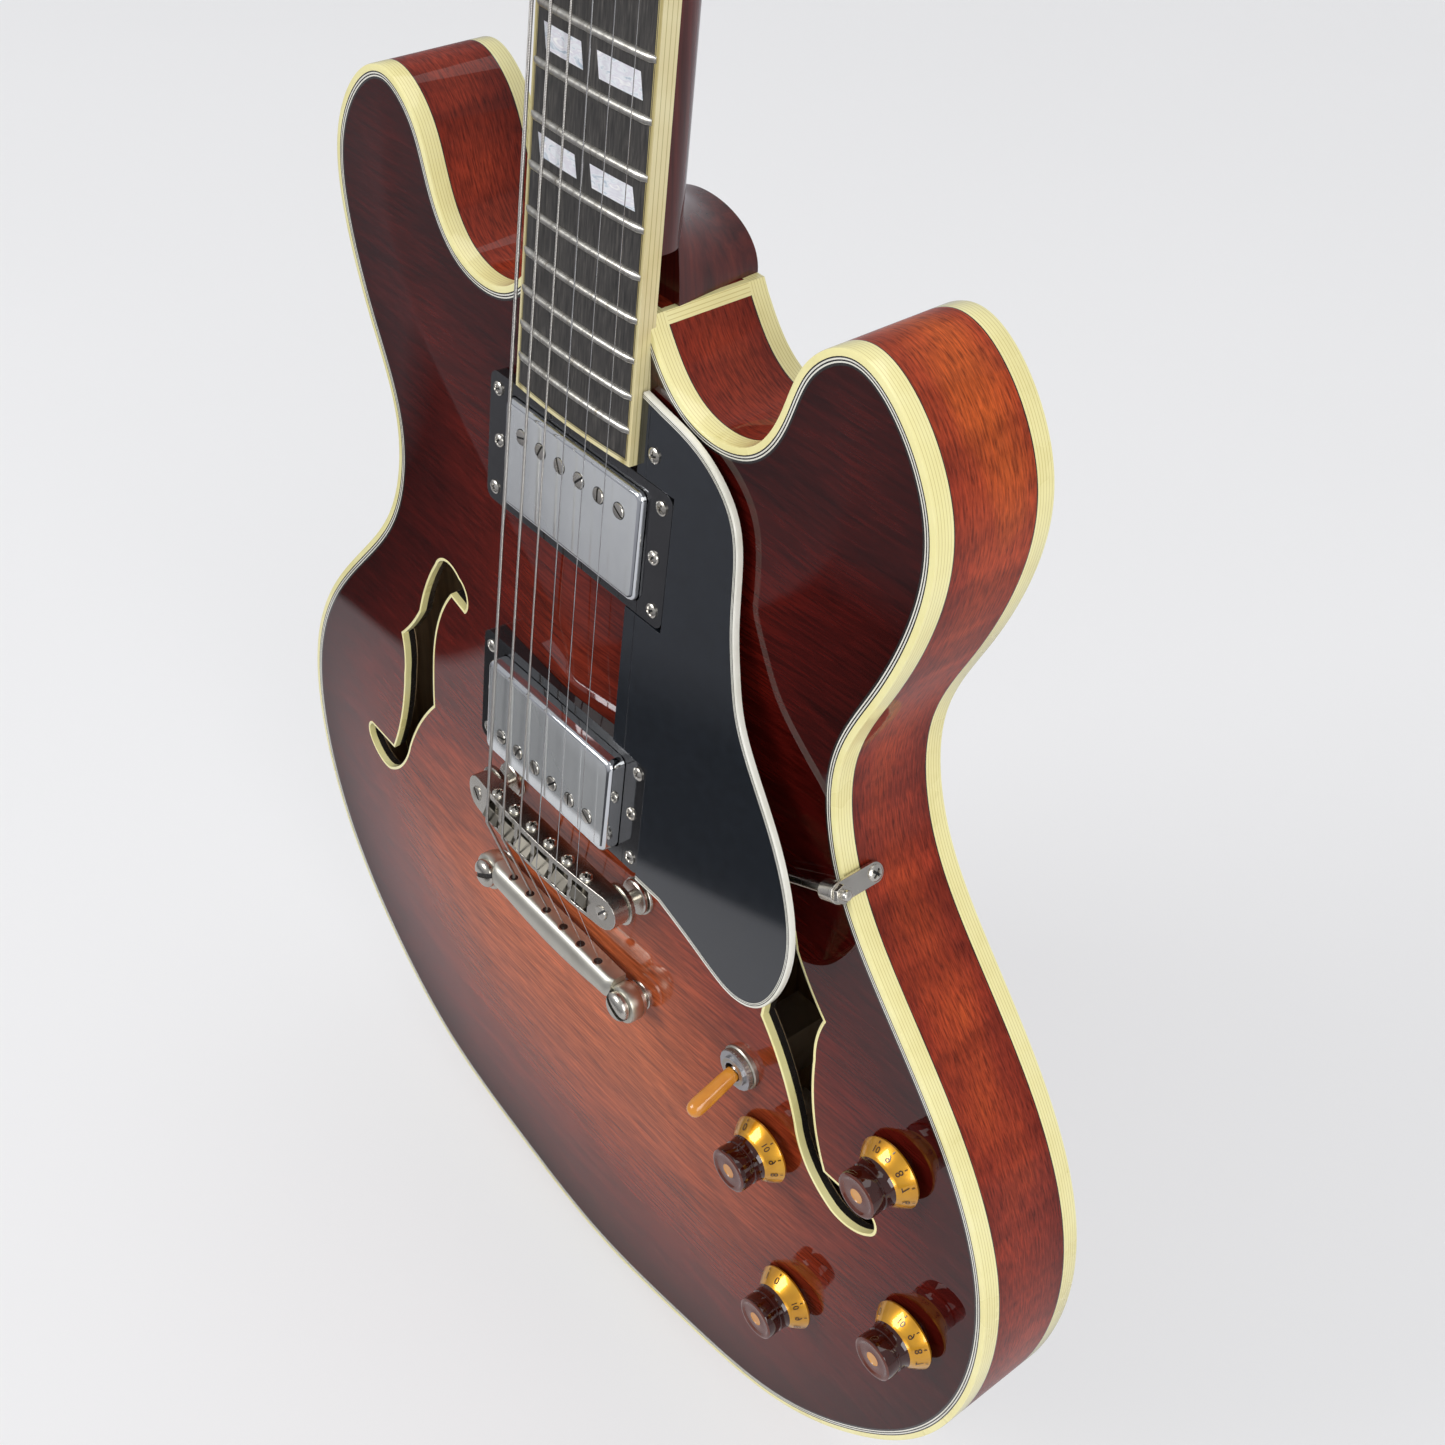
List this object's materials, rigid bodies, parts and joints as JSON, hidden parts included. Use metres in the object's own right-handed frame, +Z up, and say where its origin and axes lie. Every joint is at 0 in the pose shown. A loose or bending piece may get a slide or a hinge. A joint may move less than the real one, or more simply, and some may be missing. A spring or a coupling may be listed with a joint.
{
  "type": "semi-hollow electric guitar",
  "caption": "Double-cutaway semi-hollow electric guitar with a bound arched body, covered pickups, bound neck, bridge with sliding saddles and a stop tailpiece.",
  "frame": {"origin": "seat of the strap button in the middle of the tail end of the rim", "axes": "+Z up the body towards the neck, +X to the treble side, +Y to the back"},
  "size_m": [0.411, 0.1409, 1.0639],
  "materials": {
    "top_lacquer": "glossy cherry-brown burst lacquer on flamed maple",
    "back_lacquer": "glossy cherry-brown lacquer on maple",
    "rim_lacquer": "glossy reddish-brown lacquer on flamed maple",
    "neck_lacquer": "glossy dark red lacquer",
    "raw_wood": "bare maple and spruce",
    "cream_binding": "polished, aged cream",
    "ebony": "oiled black ebony",
    "pearl": "pearl",
    "bone": "polished bone",
    "fret_wire": "polished nickel silver",
    "black_lacquer": "glossy black",
    "black_plastic": "glossy black",
    "string_wire": "plain and wound steel",
    "nickel": "polished nickel",
    "chrome": "polished",
    "steel": "plated steel",
    "coil_parts": "black bobbins",
    "amber_plastic": "clear amber"
  },
  "bodies": {
    "instrument": {"back_plate": "back_lacquer", "body_bindings": "cream_binding", "bridge_posts": "nickel", "centre_block": "raw_wood", "fingerboard": "ebony", "fingerboard_binding": "cream_binding", "fret_inlays": "pearl", "frets": "fret_wire", "headstock_binding": "cream_binding", "headstock_overlay": "black_lacquer", "heel_binding": "cream_binding", "neck": "neck_lacquer", "nut": "bone", "output_jack": "nickel", "pickguard": "black_plastic", "pickguard_binding": "cream_binding", "pickguard_bracket": "nickel", "pickup_coils": "coil_parts", "pickup_covers": "chrome", "pickup_rings": "black_plastic", "pole_screws": "nickel", "pot_bodies": "steel", "rim": "rim_lacquer", "small_screws": "nickel", "soundhole_bindings": "cream_binding", "strap_buttons": "nickel", "strings": "string_wire", "switch_body": "steel", "tailpiece": "nickel", "tailpiece_studs": "nickel", "top_plate": "top_lacquer", "truss_rod": "steel", "truss_rod_cover": "black_plastic", "tuner_housings": "nickel"},
    "tuner_button_1": {"tuner_button_1": "nickel"},
    "tuner_post_1": {"tuner_post_1": "nickel"},
    "tuner_button_2": {"tuner_button_2": "nickel"},
    "tuner_post_2": {"tuner_post_2": "nickel"},
    "tuner_button_3": {"tuner_button_3": "nickel"},
    "tuner_post_3": {"tuner_post_3": "nickel"},
    "tuner_button_4": {"tuner_button_4": "nickel"},
    "tuner_post_4": {"tuner_post_4": "nickel"},
    "tuner_button_5": {"tuner_button_5": "nickel"},
    "tuner_post_5": {"tuner_post_5": "nickel"},
    "tuner_button_6": {"tuner_button_6": "nickel"},
    "tuner_post_6": {"tuner_post_6": "nickel"},
    "knob_1": {"knob_1": "amber_plastic"},
    "knob_2": {"knob_2": "amber_plastic"},
    "knob_3": {"knob_3": "amber_plastic"},
    "knob_4": {"knob_4": "amber_plastic"},
    "switch_lever": {"switch_lever": "amber_plastic"},
    "bridge": {"bridge": "nickel", "thumbwheels": "nickel", "saddle_screws": "nickel"},
    "saddle_1": {"saddle_1": "nickel"},
    "saddle_2": {"saddle_2": "nickel"},
    "saddle_3": {"saddle_3": "nickel"},
    "saddle_4": {"saddle_4": "nickel"},
    "saddle_5": {"saddle_5": "nickel"},
    "saddle_6": {"saddle_6": "nickel"}
  },
  "joints": [
    {"name": "tuner_button_1_turn", "type": "hinge", "parent": "instrument", "child": "tuner_button_1", "pos_m": [0.043, 0.04885, 0.91184], "axis": [1, 0, 0], "continuous": true},
    {"name": "tuner_post_1_turn", "type": "hinge", "parent": "instrument", "child": "tuner_post_1", "pos_m": [0.023, 0.02764, 0.91377], "axis": [0, -0.9403, 0.3404], "continuous": true},
    {"name": "tuner_button_2_turn", "type": "hinge", "parent": "instrument", "child": "tuner_button_2", "pos_m": [0.045, 0.06212, 0.94851], "axis": [1, 0, 0], "continuous": true},
    {"name": "tuner_post_2_turn", "type": "hinge", "parent": "instrument", "child": "tuner_post_2", "pos_m": [0.025, 0.04092, 0.95044], "axis": [0, -0.9403, 0.3404], "continuous": true},
    {"name": "tuner_button_3_turn", "type": "hinge", "parent": "instrument", "child": "tuner_button_3", "pos_m": [0.047, 0.0754, 0.98518], "axis": [1, 0, 0], "continuous": true},
    {"name": "tuner_post_3_turn", "type": "hinge", "parent": "instrument", "child": "tuner_post_3", "pos_m": [0.027, 0.05419, 0.98711], "axis": [0, -0.9403, 0.3404], "continuous": true},
    {"name": "tuner_button_4_turn", "type": "hinge", "parent": "instrument", "child": "tuner_button_4", "pos_m": [-0.047, 0.0754, 0.98518], "axis": [-1, 0, 0], "continuous": true},
    {"name": "tuner_post_4_turn", "type": "hinge", "parent": "instrument", "child": "tuner_post_4", "pos_m": [-0.027, 0.05419, 0.98711], "axis": [0, -0.9403, 0.3404], "continuous": true},
    {"name": "tuner_button_5_turn", "type": "hinge", "parent": "instrument", "child": "tuner_button_5", "pos_m": [-0.045, 0.06212, 0.94851], "axis": [-1, 0, 0], "continuous": true},
    {"name": "tuner_post_5_turn", "type": "hinge", "parent": "instrument", "child": "tuner_post_5", "pos_m": [-0.025, 0.04092, 0.95044], "axis": [0, -0.9403, 0.3404], "continuous": true},
    {"name": "tuner_button_6_turn", "type": "hinge", "parent": "instrument", "child": "tuner_button_6", "pos_m": [-0.043, 0.04885, 0.91184], "axis": [-1, 0, 0], "continuous": true},
    {"name": "tuner_post_6_turn", "type": "hinge", "parent": "instrument", "child": "tuner_post_6", "pos_m": [-0.023, 0.02764, 0.91377], "axis": [0, -0.9403, 0.3404], "continuous": true},
    {"name": "knob_1_turn", "type": "hinge", "parent": "instrument", "child": "knob_1", "pos_m": [0.10794, -0.02808, 0.18211], "axis": [0, -1, 0], "range_deg": [0, 280]},
    {"name": "knob_2_turn", "type": "hinge", "parent": "instrument", "child": "knob_2", "pos_m": [0.16006, -0.02206, 0.22066], "axis": [0, -1, 0], "range_deg": [0, 280]},
    {"name": "knob_3_turn", "type": "hinge", "parent": "instrument", "child": "knob_3", "pos_m": [0.12394, -0.02489, 0.11011], "axis": [0, -1, 0], "range_deg": [0, 280]},
    {"name": "knob_4_turn", "type": "hinge", "parent": "instrument", "child": "knob_4", "pos_m": [0.17668, -0.02192, 0.15009], "axis": [0, -1, 0], "range_deg": [0, 280]},
    {"name": "switch_throw", "type": "hinge", "parent": "instrument", "child": "switch_lever", "pos_m": [0.09213, -0.02928, 0.2083], "axis": [1, 0, 0], "range_deg": [-44, 0]},
    {"name": "bridge_height", "type": "slide", "parent": "instrument", "child": "bridge", "axis": [0, -0.9963, 0.0854], "range_m": [-0.0015, 0.002], "deforming": ["strings"]},
    {"name": "saddle_1_intonation", "type": "slide", "parent": "bridge", "child": "saddle_1", "axis": [0, 0.0854, 0.9963], "range_m": [-0.0023, 0.0024]},
    {"name": "saddle_2_intonation", "type": "slide", "parent": "bridge", "child": "saddle_2", "axis": [0, 0.0854, 0.9963], "range_m": [-0.0018, 0.0029]},
    {"name": "saddle_3_intonation", "type": "slide", "parent": "bridge", "child": "saddle_3", "axis": [0, 0.0854, 0.9963], "range_m": [-0.0013, 0.0034]},
    {"name": "saddle_4_intonation", "type": "slide", "parent": "bridge", "child": "saddle_4", "axis": [0, 0.0854, 0.9963], "range_m": [-0.0017, 0.003]},
    {"name": "saddle_5_intonation", "type": "slide", "parent": "bridge", "child": "saddle_5", "axis": [0, 0.0854, 0.9963], "range_m": [-0.0011, 0.0036]},
    {"name": "saddle_6_intonation", "type": "slide", "parent": "bridge", "child": "saddle_6", "axis": [0, 0.0854, 0.9963], "range_m": [-0.0006, 0.0041]}
  ],
  "couplings": [
    {"joint": "tuner_post_1_turn", "follows": "tuner_button_1_turn", "ratio": -0.071429},
    {"joint": "tuner_post_2_turn", "follows": "tuner_button_2_turn", "ratio": -0.071429},
    {"joint": "tuner_post_3_turn", "follows": "tuner_button_3_turn", "ratio": -0.071429},
    {"joint": "tuner_post_4_turn", "follows": "tuner_button_4_turn", "ratio": -0.071429},
    {"joint": "tuner_post_5_turn", "follows": "tuner_button_5_turn", "ratio": -0.071429},
    {"joint": "tuner_post_6_turn", "follows": "tuner_button_6_turn", "ratio": -0.071429}
  ]
}
